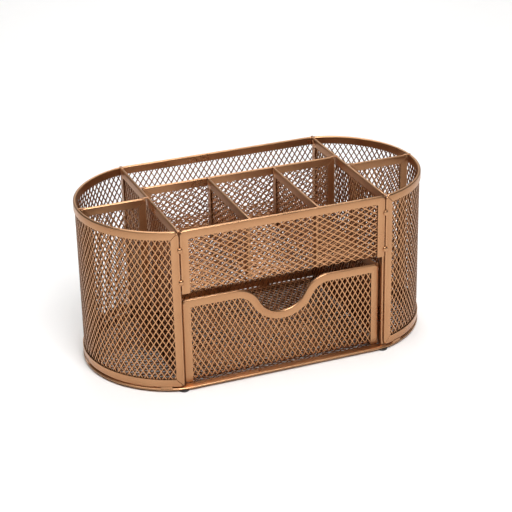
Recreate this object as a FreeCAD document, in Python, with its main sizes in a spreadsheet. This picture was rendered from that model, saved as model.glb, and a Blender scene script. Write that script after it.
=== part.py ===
import FreeCAD, Part
import math
import os
import Sketcher

# A pen stand of expanded-metal sheet edged with folded steel channel, with one drawer.
# Millimetres, +Z up, +X to the right, the drawer opens towards -Y.
# The origin is on the desk, under the middle of the stand.

PARTS_FOLDER = "parts"
SHEET_NAME = "Sizes"
TOLERANCE = 1e-4

DRIVING_SIZES = {
    # the whole stand
    "overallHeight": 105.0,
    "wallLength": 220.0,
    "wallDepth": 112.0,
    "bayWidth": 131.0,
    # sheet and folded channel
    "sheetThickness": 0.6,
    "channelWidth": 5.0,
    "channelSkin": 0.45,
    "slotClearance": 0.25,
    "foldRadius": 0.8,
    "cornerRadius": 2.5,
    "bendRadius": 1.2,
    "seatClearance": 0.05,
    "windowRib": 3.6,
    "windowMargin": 2.5,
    # base
    "footHeight": 1.0,
    "footRadius": 3.0,
    "footInset": 3.0,
    "baseOverhang": 1.0,
    "baseGap": 1.0,
    "baseTabLength": 7.0,
    "baseTabInset": 7.3,
    "rearTabPlace": 30.0,
    # upper compartments
    "shelfHeight": 64.6,
    "longDividerPlace": 16.0,
    "smallDividerSpacing": 43.4,
    "endDividerPlace": 0.0,
    "endGap": 1.5,
    "seamGap": 0.4,
    "topTabThickness": 0.6,
    "topTabWidth": 1.8,
    "topTabLap": 1.6,
    "seamTabWidth": 2.2,
    "seamTabHeight": 2.6,
    "seamTabProud": 0.5,
    "upperSeamDrop": 11.4,
    "lowerSeamRise": 5.9,
    # drawer
    "drawerSetback": 5.0,
    "drawerSideGap": 0.9,
    "drawerBackGap": 1.5,
    "drawerTopGap": 6.8,
    "drawerFloorGap": 0.3,
    "sideRimDrop": 0.6,
    "notchHalfWidth": 30.0,
    "notchDepth": 18.8,
}


class Size:
    """A length that carries its spreadsheet expression and its present value."""

    def __init__(self, text, value):
        self.text = text
        self.value = value

    def __add__(self, other):
        return joined(self, "+", other, self.value + valueOf(other))

    def __radd__(self, other):
        return joined(other, "+", self, valueOf(other) + self.value)

    def __sub__(self, other):
        return joined(self, "-", other, self.value - valueOf(other))

    def __rsub__(self, other):
        return joined(other, "-", self, valueOf(other) - self.value)

    def __mul__(self, other):
        return joined(self, "*", other, self.value * valueOf(other))

    def __rmul__(self, other):
        return joined(other, "*", self, valueOf(other) * self.value)

    def __truediv__(self, other):
        return joined(self, "/", other, self.value / valueOf(other))

    def __neg__(self):
        return joined(0, "-", self, -self.value)


def valueOf(size):
    return size.value if isinstance(size, Size) else size


def textOf(size):
    return size.text if isinstance(size, Size) else repr(size)


def joined(left, sign, right, value):
    return Size(f"({textOf(left)} {sign} {textOf(right)})", value)


def squareRoot(size):
    return Size(f"sqrt({size.text})", math.sqrt(size.value))


document = FreeCAD.newDocument("PenStand")
spreadsheet = document.addObject("Spreadsheet::Sheet", SHEET_NAME)
for row, (alias, number) in enumerate(DRIVING_SIZES.items(), start=1):
    spreadsheet.set(f"A{row}", alias)
    spreadsheet.set(f"B{row}", str(number))
    spreadsheet.setAlias(f"B{row}", alias)
document.recompute()


def driving(alias):
    return Size(f"{SHEET_NAME}.{alias}", DRIVING_SIZES[alias])


# ---- sizes worked out from the driving ones ----

sheet = driving("sheetThickness")
channelWidth = driving("channelWidth")
skin = driving("channelSkin")
slack = driving("slotClearance")
foldRadius = driving("foldRadius")
seat = driving("seatClearance")
slotWidth = sheet + 2 * slack
channelThickness = slotWidth + 2 * skin
sheetEdge = skin + slack
rib = driving("windowRib")
margin = driving("windowMargin")
windowInset = channelWidth + margin

halfDepth = driving("wallDepth") / 2
halfBay = driving("bayWidth") / 2
halfLength = driving("wallLength") / 2
endBulge = halfLength - halfBay
endRadius = (halfDepth * halfDepth + endBulge * endBulge) / (2 * endBulge)
arcCentre = halfLength - endRadius

footTop = driving("footHeight")
baseRimTop = footTop + channelThickness
wallBottom = baseRimTop + driving("baseGap")
rimTop = driving("overallHeight") - driving("topTabThickness")

dividerBottom = baseRimTop + seat
dividerHeight = rimTop - dividerBottom
bayInner = halfBay - channelThickness / 2
bayOuter = halfBay + channelThickness / 2
postInnerRadius = endRadius - channelThickness
postReach = bayOuter - arcCentre
crossFront = seat - squareRoot(postInnerRadius * postInnerRadius - postReach * postReach)
crossBack = halfDepth - channelThickness - driving("endGap")

shelfUnder = driving("shelfHeight")
shelfTop = shelfUnder + sheet
traySeat = shelfTop + seat
trayHeight = rimTop - traySeat
longPlace = driving("longDividerPlace")

drawerHalfWidth = bayInner - driving("drawerSideGap")
drawerFrontFace = driving("drawerSetback") - halfDepth
drawerFrontMid = drawerFrontFace + channelThickness / 2
drawerBackFace = halfDepth - channelThickness - driving("drawerBackGap")
drawerBackMid = drawerBackFace - channelThickness / 2
drawerSideBack = drawerBackFace - channelThickness - seat
drawerBottom = baseRimTop + driving("drawerFloorGap")
drawerTop = shelfUnder - driving("drawerTopGap")
drawerHeight = drawerTop - drawerBottom
sideRimTop = drawerTop - driving("sideRimDrop")
drawerSideMid = drawerHalfWidth - channelThickness / 2


# ---- small tools ----


def bind(thing, **sizes):
    """Ties properties to spreadsheet expressions; an underscore in a name stands for a dot."""
    for name, size in sizes.items():
        if isinstance(size, Size):
            thing.setExpression(name.replace("_", "."), size.text)


def place(thing, x=0, y=0, z=0):
    thing.Placement.Base = FreeCAD.Vector(valueOf(x), valueOf(y), valueOf(z))
    bind(thing, Placement_Base_x=x, Placement_Base_y=y, Placement_Base_z=z)
    return thing


def originPlane(body, role):
    return next(plane for plane in body.Origin.OriginFeatures if plane.Role == role)


def arcAround(centre, start, end, counterClockwise):
    """An arc from start to end; its own direction is always counter-clockwise."""
    first, last = (start, end) if counterClockwise else (end, start)
    middle = FreeCAD.Vector(*centre, 0)
    radius = math.dist(centre, start)
    angles = [math.atan2(point[1] - centre[1], point[0] - centre[0]) for point in (first, last)]
    circle = Part.Circle(middle, FreeCAD.Vector(0, 0, 1), radius)
    return Part.ArcOfCircle(circle, *angles), radius


def drawSketch(body, plane, name, loops, lift=0, closed=True):
    """Draws closed loops, or open paths, and ties every corner and radius to the spreadsheet.

    A corner is (x, y), or (x, y, centre, counterClockwise, radius) where an arc leaves it.
    """
    sketch = body.newObject("Sketcher::SketchObject", name)
    sketch.AttachmentSupport = (originPlane(body, plane), [""])
    sketch.MapMode = "FlatFace"
    sketch.AttachmentOffset = FreeCAD.Placement(
        FreeCAD.Vector(0, 0, valueOf(lift)), FreeCAD.Rotation()
    )
    bind(sketch, AttachmentOffset_Base_z=lift)
    constraints = []
    expressions = []

    def constrain(constraint, size=None):
        if isinstance(size, Size):
            expressions.append((len(constraints), size.text))
        constraints.append(constraint)

    def pin(number, end, corner):
        x, y = corner[:2]
        constrain(Sketcher.Constraint("DistanceX", -1, 1, number, end, valueOf(x)), x)
        constrain(Sketcher.Constraint("DistanceY", -1, 1, number, end, valueOf(y)), y)

    for loop in loops:
        ends = []
        for index, corner in enumerate(loop if closed else loop[:-1]):
            following = loop[(index + 1) % len(loop)]
            start = (valueOf(corner[0]), valueOf(corner[1]))
            end = (valueOf(following[0]), valueOf(following[1]))
            if len(corner) == 2:
                line = Part.LineSegment(FreeCAD.Vector(*start, 0), FreeCAD.Vector(*end, 0))
                ends.append((sketch.addGeometry(line, False), 1, 2))
                continue
            centre = (valueOf(corner[2][0]), valueOf(corner[2][1]))
            arc, radius = arcAround(centre, start, end, corner[3])
            number = sketch.addGeometry(arc, False)
            ends.append((number, 1, 2) if corner[3] else (number, 2, 1))
            constrain(Sketcher.Constraint("Radius", number, radius), corner[4])
        for index, (number, first, _) in enumerate(ends):
            pin(number, first, loop[index])
        following = ends[1:] + ends[:1] if closed else ends[1:]
        for (number, _, last), (after, first, _) in zip(ends, following):
            constrain(Sketcher.Constraint("Coincident", number, last, after, first))
        if not closed:
            number, _, last = ends[-1]
            pin(number, last, loop[-1])
    sketch.addConstraint(constraints)
    for number, text in expressions:
        sketch.setExpression(f"Constraints[{number}]", text)
    return sketch


def newBody(name):
    body = document.addObject("PartDesign::Body", name)
    body.Label = name
    return body


def pad(body, sketch, length, symmetric=False):
    feature = body.newObject("PartDesign::Pad", "Pad")
    feature.Profile = sketch
    feature.SideType = "Symmetric" if symmetric else "One side"
    feature.Length = valueOf(length)
    bind(feature, Length=length)
    sketch.Visibility = False
    return feature


def pocket(body, sketch, length, symmetric=False, alongNormal=True):
    """Cuts by length from the sketch: along its normal, against it, or half each way."""
    feature = body.newObject("PartDesign::Pocket", "Pocket")
    feature.Profile = sketch
    feature.SideType = "Symmetric" if symmetric else "One side"
    feature.Reversed = alongNormal
    feature.Length = valueOf(length)
    bind(feature, Length=length)
    return feature


def roundEdges(body, base, wanted):
    """Rounds the folded edges of base, those that wanted(edge) picks."""
    document.recompute()
    names = [f"Edge{n}" for n, edge in enumerate(base.Shape.Edges, start=1) if wanted(edge)]
    feature = body.newObject("PartDesign::Fillet", "Fold")
    feature.Base = (base, names)
    feature.Radius = foldRadius.value
    bind(feature, Radius=foldRadius)
    return feature


def near(first, second):
    return abs(first - second) < TOLERANCE


# ---- windows: a plain grid of openings that stands for the sheet's fine diamonds ----


def stretches(low, high, count):
    """Equal stretches between low and high, with a rib between neighbours."""
    pitch = (high - low + rib) / count
    return [(low + k * pitch, low + (k + 1) * pitch - rib) for k in range(count)]


def cutWindows(body, plane, across, up, length, **direction):
    """Cuts a row of windows, one for each stretch across, and repeats it up the sheet.

    up is (low, high, rows): the rows share that height, with a rib between neighbours.
    """
    low, high, rows = up
    pitch = (high - low + rib) / rows
    top = low + pitch - rib
    row = [[(left, low), (right, low), (right, top), (left, top)] for left, right in across]
    sketch = drawSketch(body, plane, "Windows", row)
    first = pocket(body, sketch, length, **direction)
    if rows > 1:
        pattern = body.newObject("PartDesign::LinearPattern", "Rows")
        pattern.Originals = [first]
        pattern.Direction = (sketch, ["V_Axis"])
        pattern.Mode = "Spacing"
        pattern.Offset = pitch.value
        bind(pattern, Offset=pitch)
        pattern.Occurrences = rows
        body.Tip = pattern


def flatSheet(name, plane, width, height, sideInset, columns, rows):
    """An upright sheet with its windows; its middle is at the body's origin, its foot at zero."""
    half = width / 2
    reach = half - sideInset
    outline = [(-half, 0), (half, 0), (half, height), (-half, height)]
    body = newBody(name)
    pad(body, drawSketch(body, plane, "Outline", [outline]), sheet, True)
    up = (margin, height + sheetEdge - windowInset, rows)
    cutWindows(body, plane, stretches(-reach, reach, columns), up, sheet, symmetric=True)
    return body


# ---- the curved wall and the base ----


def stadium(offset):
    """Corners of the stand's plan outline moved outwards: straight front and back, round ends."""
    depth = halfDepth + offset
    radius = endRadius + offset
    x = arcCentre + squareRoot(radius * radius - depth * depth)
    right = (arcCentre, 0)
    left = (-arcCentre, 0)
    return [
        (-x, -depth),
        (x, -depth, right, True, radius),
        (x, depth),
        (-x, depth, left, True, radius),
    ]


def frontOpening(halfWidth):
    """A block that clears the front of a wall ring between the two front posts."""
    front = -(halfDepth + channelWidth)
    return [(-halfWidth, front), (halfWidth, front), (halfWidth, 0), (-halfWidth, 0)]


def channelSection(spot, counterClockwise):
    """Corners of a folded channel's section.

    spot(across, deep) gives their places: across the channel's thickness, and deep from its
    fold to its open mouth. counterClockwise is the way the section then goes round.
    """
    far = channelThickness
    nearFold = spot(foldRadius, foldRadius)
    farFold = spot(far - foldRadius, foldRadius)
    return [
        spot(0, channelWidth),
        (*spot(0, foldRadius), nearFold, counterClockwise, foldRadius),
        spot(foldRadius, 0),
        (*spot(far - foldRadius, 0), farFold, counterClockwise, foldRadius),
        spot(far, foldRadius),
        spot(far, channelWidth),
        spot(far - skin, channelWidth),
        spot(far - skin, skin),
        spot(skin, skin),
        spot(skin, channelWidth),
    ]


def sweptRim(name, section, closedAtFront):
    """A folded channel that follows the outline; its section is drawn at the middle of the back.

    The right half is swept, then mirrored.
    """
    body = newBody(name)
    _, frontRight, backRight, _ = stadium(0)
    path = [(0, halfDepth), (*backRight, (arcCentre, 0), False, endRadius), frontRight[:2]]
    if closedAtFront:
        path.append((0, -halfDepth))
    spine = drawSketch(body, "XY_Plane", "Path", [path], closed=False)
    half = body.newObject("PartDesign::AdditivePipe", "Half")
    half.Profile = drawSketch(body, "YZ_Plane", "Section", [section])
    half.Spine = (spine, [f"Edge{n}" for n in range(1, len(path))])
    half.Transition = "Right corner"
    whole = body.newObject("PartDesign::Mirrored", "Whole")
    whole.Originals = [half]
    whole.MirrorPlane = (originPlane(body, "YZ_Plane"), [""])
    body.Tip = whole
    return body


def wallRim(name, fold, up):
    """A folded channel along the wall's top edge (up = 1) or its bottom edge (up = -1)."""
    section = channelSection(lambda across, deep: (halfDepth - across, fold - up * deep), up > 0)
    body = sweptRim(name, section, closedAtFront=False)
    opening = drawSketch(body, "XY_Plane", "Opening", [frontOpening(halfBay)], wallBottom)
    pocket(body, opening, rimTop - wallBottom)


def arcStrip(side, outer, inner, nearX, farX):
    """Corners of a short curved strip of the front wall, next to the bay on one side."""
    centre = (side * arcCentre, 0)

    def corner(radius, x, *arc):
        reach = x - arcCentre
        return (side * x, -squareRoot(radius * radius - reach * reach), *arc)

    outerRadius = endRadius + outer
    innerRadius = endRadius + inner
    outwards = side > 0
    return [
        corner(outerRadius, nearX, centre, outwards, outerRadius),
        corner(outerRadius, farX),
        corner(innerRadius, farX, centre, not outwards, innerRadius),
        corner(innerRadius, nearX),
    ]


def frontPost(name, side):
    """A vertical channel that closes the wall's front edge, beside the bay."""
    body = newBody(name)
    bottom = wallBottom + channelWidth
    height = rimTop - wallBottom - 2 * channelWidth
    farEdge = halfBay + channelWidth
    strip = arcStrip(side, 0, -channelThickness, halfBay, farEdge)
    base = pad(body, drawSketch(body, "XY_Plane", "Outline", [strip], bottom), height)

    def onFold(edge):
        box = edge.BoundBox
        return near(side * box.XMin, halfBay.value) and box.ZLength > height.value / 2

    roundEdges(body, base, onFold)
    slot = arcStrip(side, -skin, skin - channelThickness, halfBay + skin, farEdge + skin)
    pocket(body, drawSketch(body, "XY_Plane", "Slot", [slot], bottom), height)
    return body


def buildWall():
    middle = channelThickness / 2
    bottom = wallBottom + sheetEdge
    height = rimTop - wallBottom - 2 * sheetEdge
    wall = newBody("outer_wall_mesh")
    ring = [stadium(sheet / 2 - middle), stadium(-sheet / 2 - middle)]
    pad(wall, drawSketch(wall, "XY_Plane", "Outline", ring, bottom), height)
    opening = [frontOpening(halfBay + sheetEdge)]
    pocket(wall, drawSketch(wall, "XY_Plane", "Opening", opening, bottom), height)

    diagonal = 0.7 * endRadius - rib / 2
    reach = arcCentre + diagonal
    up = (wallBottom + windowInset, rimTop - windowInset, 3)
    beside = halfBay + windowInset
    back = stretches(-reach, reach, 8)
    cutWindows(wall, "XZ_Plane", back, up, halfDepth, alongNormal=False)
    cutWindows(wall, "XZ_Plane", [(-reach, -beside), (beside, reach)], up, halfDepth)
    ends = stretches(-diagonal, diagonal, 4)
    cutWindows(wall, "YZ_Plane", ends, up, 2 * halfLength, symmetric=True)

    wallRim("outer_wall_top_rim", rimTop, 1)
    wallRim("outer_wall_bottom_rim", wallBottom, -1)
    frontPost("left_front_post", -1)
    frontPost("right_front_post", 1)


def buildBase():
    overhang = driving("baseOverhang")
    floor = newBody("base_mesh")
    bottom = footTop + channelThickness / 2 - sheet / 2
    outline = [stadium(overhang - sheetEdge)]
    pad(floor, drawSketch(floor, "XY_Plane", "Outline", outline, bottom), sheet)
    reach = bayInner - margin
    back = halfDepth + overhang - windowInset
    cutWindows(floor, "XY_Plane", stretches(-reach, reach, 5), (-back, back, 4), rimTop)
    near, far = bayOuter + margin, halfLength - 3 * windowInset
    side = 0.65 * endRadius
    cutWindows(floor, "XY_Plane", [(-far, -near), (near, far)], (-side, side, 4), rimTop)
    outer = halfDepth + overhang
    section = channelSection(lambda across, deep: (outer - deep, footTop + across), True)
    sweptRim("base_rim", section, closedAtFront=True)


def buildFeet():
    """Four rubber pads under the base rim, at the corners of the bay."""
    for depthName, depthSign in (("front", -1), ("rear", 1)):
        for sideName, side in (("left", -1), ("right", 1)):
            name = f"{depthName}_{sideName}_foot"
            foot = document.addObject("Part::Cylinder", name)
            foot.Label = name
            bind(foot, Radius=driving("footRadius"), Height=footTop)
            place(foot, side * halfBay, depthSign * (halfDepth - driving("footInset")))


def buildBaseTabs():
    """Short welded tabs that hold the wall's bottom rim on the base rim."""
    tabs = []
    length = driving("baseTabLength")
    thickness = channelThickness - 2 * skin
    gap = driving("baseGap")
    inset = driving("baseTabInset")

    def addTab(x, y, sizeX, sizeY):
        tab = document.addObject("Part::Box", "BaseTab")
        bind(tab, Length=sizeX, Width=sizeY, Height=gap)
        tabs.append(place(tab, x, y, baseRimTop))

    for x in (-driving("rearTabPlace"), driving("rearTabPlace")):
        addTab(x - length / 2, halfDepth - skin - thickness, length, thickness)
    addTab(skin - halfLength, -length / 2, thickness, length)
    addTab(halfLength - skin - thickness, -length / 2, thickness, length)
    for side in (-1, 1):
        tab = newBody("BaseTab")
        start = halfBay + inset
        strip = arcStrip(side, -skin, -skin - thickness, start, start + length)
        pad(tab, drawSketch(tab, "XY_Plane", "Outline", [strip], baseRimTop), gap)
        tabs.append(tab)
    gather("base_weld_tabs", tabs)


def gather(name, pieces):
    """Keeps several separate solids together under one name."""
    group = document.addObject("Part::Compound", name)
    group.Label = name
    group.Links = pieces
    return group


# ---- frames of folded channel ----


def archOutline(width, height, band, radius):
    """Corners of an upside-down U: its outer corners are round, its legs end at the bottom."""
    half = width / 2
    turn = height - radius
    bend = half - radius
    inner = half - band
    return [
        (-half, 0),
        (-half, turn, (-bend, turn), False, radius),
        (-bend, height),
        (bend, height, (bend, turn), False, radius),
        (half, turn),
        (half, 0),
        (inner, 0),
        (inner, height - band),
        (-inner, height - band),
        (-inner, 0),
    ]


def foldedFrame(name, plane, outline, foldCorners, slot):
    """A flat channel frame: outline padded, its outer edges rounded, a slot for the sheet."""
    body = newBody(name)
    base = pad(body, drawSketch(body, plane, "Outline", [outline]), channelThickness, True)
    corners = [(valueOf(corner[0]), valueOf(corner[1])) for corner in outline[:foldCorners]]
    across = "y" if plane == "XZ_Plane" else "x"
    along = "x" if plane == "XZ_Plane" else "y"

    def isCorner(point):
        flat = (getattr(point, along), point.z)
        return any(math.dist(flat, corner) < TOLERANCE for corner in corners)

    def onFold(edge):
        points = [vertex.Point for vertex in edge.Vertexes]
        onFace = all(near(abs(getattr(p, across)), channelThickness.value / 2) for p in points)
        sameFace = near(getattr(points[0], across), getattr(points[-1], across))
        return onFace and sameFace and all(isCorner(point) for point in points)

    roundEdges(body, base, onFold)
    pocket(body, drawSketch(body, plane, "Slot", [slot]), slotWidth, True)
    return body


def clearBend(body, halfWidth):
    """Cuts the rear lip short at the frame's feet, where its sheet bends backwards."""
    above = driving("bendRadius") + seat
    feet = [(-halfWidth, -above), (halfWidth, -above), (halfWidth, above), (-halfWidth, above)]
    sketch = drawSketch(body, "XZ_Plane", "BendClearance", [feet], slotWidth / 2)
    pocket(body, sketch, channelThickness, alongNormal=False)


def archFrame(name, plane, width, height):
    """An upside-down U of channel, open downwards for the sheet."""
    outline = archOutline(width, height, channelWidth, driving("cornerRadius"))
    inner = width / 2 - skin
    below = -channelWidth
    slot = [(-inner, below), (inner, below), (inner, height - skin), (-inner, height - skin)]
    return foldedFrame(name, plane, outline, 6, slot)


def divider(name, plane, width, bottom, height, x, y, columns, rows):
    """A divider: its channel frame and the flat sheet that the frame holds."""
    place(archFrame(f"{name}_frame", plane, width, height), x, y, bottom)
    inset = windowInset - sheetEdge
    reach = width - 2 * sheetEdge
    mesh = flatSheet(f"{name}_mesh", plane, reach, height - sheetEdge, inset, columns, rows)
    place(mesh, x, y, bottom)


def buildDividers():
    endGap = driving("endGap")
    crossDepth = crossBack - crossFront
    crossMiddle = (crossBack + crossFront) / 2
    endStart = bayOuter + endGap
    endStop = halfLength - channelThickness - endGap
    for sideName, side in (("left", -1), ("right", 1)):
        divider(
            f"{sideName}_cross_divider", "YZ_Plane", crossDepth,
            dividerBottom, dividerHeight, side * halfBay, crossMiddle, 4, 4,
        )
        divider(
            f"{sideName}_end_divider", "XZ_Plane", endStop - endStart,
            dividerBottom, dividerHeight, side * (endStop + endStart) / 2,
            driving("endDividerPlace"), 2, 4,
        )
    longWidth = 2 * (bayInner - endGap)
    divider("long_divider", "XZ_Plane", longWidth, traySeat, trayHeight, 0 * sheet, longPlace, 5, 2)
    smallFront = channelThickness - halfDepth + endGap
    smallBack = longPlace - channelThickness / 2 - endGap
    for sideName, side in (("left", -1), ("right", 1)):
        divider(
            f"{sideName}_small_divider", "YZ_Plane", smallBack - smallFront,
            traySeat, trayHeight, side * driving("smallDividerSpacing") / 2,
            (smallBack + smallFront) / 2, 3, 2,
        )


# ---- front panel and shelf ----


def buildFrontPanel():
    """The upper front: a channel arch, and one sheet that bends back into the shelf."""
    width = 2 * (halfBay - driving("seamGap"))
    frame = archFrame("front_panel_frame", "XZ_Plane", width, rimTop - shelfUnder)
    clearBend(frame, width / 2)
    place(frame, 0, channelThickness / 2 - halfDepth, shelfUnder)

    face = channelThickness / 2 - halfDepth - sheet / 2
    top = rimTop - sheetEdge
    back = halfDepth - channelThickness - slack
    bend = driving("bendRadius")
    centre = (face + bend, shelfUnder + bend)
    profile = [
        (face, top),
        (face, shelfUnder + bend, centre, True, bend),
        (face + bend, shelfUnder),
        (back, shelfUnder),
        (back, shelfTop),
        (face + bend, shelfTop, centre, False, bend - sheet),
        (face + sheet, shelfUnder + bend),
        (face + sheet, top),
    ]
    body = newBody("front_panel_mesh")
    outline = drawSketch(body, "YZ_Plane", "Profile", [profile])
    pad(body, outline, 2 * (bayInner - slack), True)

    reach = width / 2 - windowInset
    up = (shelfTop + margin, rimTop - windowInset, 2)
    cutWindows(body, "XZ_Plane", stretches(-reach, reach, 5), up, halfDepth)
    small = driving("smallDividerSpacing") / 2
    across = (
        stretches(-reach, -small - rib / 2, 2)
        + stretches(-small + rib / 2, small - rib / 2, 2)
        + stretches(small + rib / 2, reach, 2)
    )
    cutWindows(body, "XY_Plane", across, (windowInset - halfDepth, longPlace - rib / 2, 3), rimTop)
    cutWindows(body, "XY_Plane", across, (longPlace + rib / 2, halfDepth - windowInset, 2), rimTop)


# ---- tabs ----


def buildTopTabs():
    """Small tabs at the ends of the dividers' rims, each lapped over the rim beside it."""
    tabs = []
    width = driving("topTabWidth")
    lap = driving("topTabLap")
    reach = driving("endGap") + 2 * lap
    inside = halfDepth - channelThickness
    half = width / 2

    def addTab(x, y, sizeX, sizeY):
        tab = document.addObject("Part::Box", "TopTab")
        bind(tab, Length=sizeX, Width=sizeY, Height=driving("topTabThickness"))
        tabs.append(place(tab, x, y, rimTop))

    for side in (-1, 1):
        crossLap = 2 * lap
        addTab(side * halfBay - half, -(inside + lap), width, crossLap)
        addTab(side * halfBay - half, inside - reach + lap, width, reach)
        small = side * driving("smallDividerSpacing") / 2 - half
        addTab(small, -(inside + lap), width, reach)
        addTab(small, longPlace - channelThickness / 2 + lap - reach, width, reach)
    for start in (-(bayInner + lap), bayInner + lap - reach):
        addTab(start, longPlace - half, reach, width)
    outer = halfLength - channelThickness
    for start in (bayOuter - lap, outer + lap - reach):
        addTab(start, driving("endDividerPlace") - half, reach, width)
        addTab(-start - reach, driving("endDividerPlace") - half, reach, width)
    gather("divider_top_tabs", tabs)


def buildSeamTabs():
    """Small welded tabs on the seams between the front posts and the front panel."""
    tabs = []
    width = driving("seamTabWidth")
    height = driving("seamTabHeight")
    proud = driving("seamTabProud")
    seamMiddle = halfBay - driving("seamGap") / 2
    for side in (-1, 1):
        for level in (rimTop - driving("upperSeamDrop"), shelfUnder + driving("lowerSeamRise")):
            tab = document.addObject("Part::Box", "SeamTab")
            bind(tab, Length=width, Width=proud, Height=height)
            corner = (side * seamMiddle - width / 2, -halfDepth - proud, level - height / 2)
            tabs.append(place(tab, *corner))
    gather("front_seam_tabs", tabs)


# ---- drawer ----


def notchedTop(half, height, band):
    """Corners of the drawer front's top edge with its finger notch, lowered inside by band.

    The notch is three arcs of one radius: a shoulder, the hollow, and a shoulder.
    """
    reach = driving("notchHalfWidth")
    depth = driving("notchDepth")
    radius = (reach * reach + depth * depth) / (4 * depth)
    shoulder = height - radius
    hollow = height - depth + radius
    share = (radius - band) / (2 * radius)
    crossX = reach - reach * share
    crossZ = shoulder + (hollow - shoulder) * share
    left = (-reach, shoulder)
    middle = (0 * sheet, hollow)
    right = (reach, shoulder)
    return [
        (-reach, height - band, left, False, radius - band),
        (-crossX, crossZ, middle, True, radius + band),
        (crossX, crossZ, right, False, radius - band),
        (reach, height - band),
    ]


def drawerFrontOutline():
    """Corners of the drawer front's channel: top with the notch, and both sides."""
    half = drawerHalfWidth
    height = drawerHeight
    radius = driving("cornerRadius")
    turn = height - radius
    bend = half - radius
    inner = half - channelWidth
    lower = notchedTop(half, height, channelWidth)
    backwards = []
    for index in range(len(lower) - 1, -1, -1):
        corner = lower[index][:2]
        if index > 0:
            _, _, centre, turnsLeft, arcRadius = lower[index - 1]
            corner = (*corner, centre, not turnsLeft, arcRadius)
        backwards.append(corner)
    outer = [
        (-half, 0),
        (-half, turn, (-bend, turn), False, radius),
        (-bend, height),
        *notchedTop(half, height, 0 * sheet),
        (bend, height, (bend, turn), False, radius),
        (half, turn),
        (half, 0),
    ]
    inside = [
        (inner, 0),
        (inner, height - channelWidth),
        *backwards,
        (-inner, height - channelWidth),
        (-inner, 0),
    ]
    return outer + inside, len(outer)


def notchedSheet(half, height, edge):
    """Corners of the drawer front's sheet, which stops edge short of the channel's outside."""
    below = -channelWidth
    return [
        (-half + edge, below),
        (-half + edge, height - edge),
        *notchedTop(half, height, edge),
        (half - edge, height - edge),
        (half - edge, below),
    ]


def buildDrawerTray():
    """One sheet bent into the drawer's front, floor and back."""
    bend = driving("bendRadius")
    front = drawerFrontMid - sheet / 2
    back = drawerBackMid + sheet / 2
    floor = drawerBottom
    frontTop = drawerTop - sheetEdge
    backTop = sideRimTop - sheetEdge
    frontCentre = (front + bend, floor + bend)
    backCentre = (back - bend, floor + bend)
    profile = [
        (front, frontTop),
        (front, floor + bend, frontCentre, True, bend),
        (front + bend, floor),
        (back - bend, floor, backCentre, True, bend),
        (back, floor + bend),
        (back, backTop),
        (back - sheet, backTop),
        (back - sheet, floor + bend, backCentre, False, bend - sheet),
        (back - bend, floor + sheet),
        (front + bend, floor + sheet, frontCentre, False, bend - sheet),
        (front + sheet, floor + bend),
        (front + sheet, frontTop),
    ]
    body = newBody("drawer_tray_mesh")
    width = 2 * (drawerSideMid - sheet / 2 - seat)
    pad(body, drawSketch(body, "YZ_Plane", "Profile", [profile]), width, True)
    cut = notchedTop(drawerHalfWidth, drawerTop, sheetEdge)
    reach = driving("notchHalfWidth")
    notch = [*cut, (reach, drawerTop + channelWidth), (-reach, drawerTop + channelWidth)]
    behind = drawerFrontFace + channelThickness
    pocket(body, drawSketch(body, "XZ_Plane", "Notch", [notch], -behind), channelThickness)

    inside = drawerHalfWidth - windowInset
    columns = stretches(-inside, inside, 5)
    underNotch = drawerTop - driving("notchDepth") - windowInset
    low = (drawerBottom + bend + margin, underNotch, 2)
    high = (underNotch + rib, drawerTop - windowInset - sheet, 1)
    shoulders = stretches(-inside, -reach, 2) + stretches(reach, inside, 2)
    cutWindows(body, "XZ_Plane", columns, low, 2 * halfDepth, symmetric=True)
    cutWindows(body, "XZ_Plane", shoulders, high, halfDepth)
    cutWindows(body, "XZ_Plane", columns, high, halfDepth, alongNormal=False)
    lengthwise = (drawerFrontMid + windowInset, drawerBackMid - windowInset, 4)
    cutWindows(body, "XY_Plane", columns, lengthwise, drawerTop)


def stripFrame(name, plane, length, height):
    """A straight piece of channel, its fold on top."""
    half = length / 2
    outline = [(-half, 0), (-half, height), (half, height), (half, 0)]
    inner = height - skin
    below = -channelWidth
    slot = [(-length, below), (length, below), (length, inner), (-length, inner)]
    body = newBody(name)
    base = pad(body, drawSketch(body, plane, "Outline", [outline]), channelThickness, True)

    def onFold(edge):
        box = edge.BoundBox
        return near(box.ZMin, height.value) and edge.Length > channelThickness.value + TOLERANCE

    roundEdges(body, base, onFold)
    pocket(body, drawSketch(body, plane, "Slot", [slot]), slotWidth, True)
    return body


def buildDrawer():
    buildDrawerTray()
    outline, foldCorners = drawerFrontOutline()
    slot = notchedSheet(drawerHalfWidth, drawerHeight, skin)
    frame = foldedFrame("drawer_front_frame", "XZ_Plane", outline, foldCorners, slot)
    clearBend(frame, drawerHalfWidth)
    place(frame, 0, drawerFrontMid, drawerBottom)

    rimBottom = sideRimTop - channelWidth
    rimStart = drawerFrontFace + channelThickness + seat
    rimLength = drawerSideBack - rimStart
    for sideName, side in (("left", -1), ("right", 1)):
        rim = stripFrame(f"drawer_{sideName}_rim", "YZ_Plane", rimLength, channelWidth)
        place(rim, side * drawerSideMid, (drawerSideBack + rimStart) / 2, rimBottom)
        sheetHeight = sideRimTop - sheetEdge - drawerBottom
        mesh = flatSheet(
            f"drawer_{sideName}_side_mesh", "YZ_Plane", rimLength, sheetHeight, margin, 4, 2
        )
        place(mesh, side * drawerSideMid, (drawerSideBack + rimStart) / 2, drawerBottom)
    rim = stripFrame("drawer_back_rim", "XZ_Plane", 2 * drawerHalfWidth, channelWidth)
    place(rim, 0, drawerBackMid, rimBottom)


# ---- build, check, write ----


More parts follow.
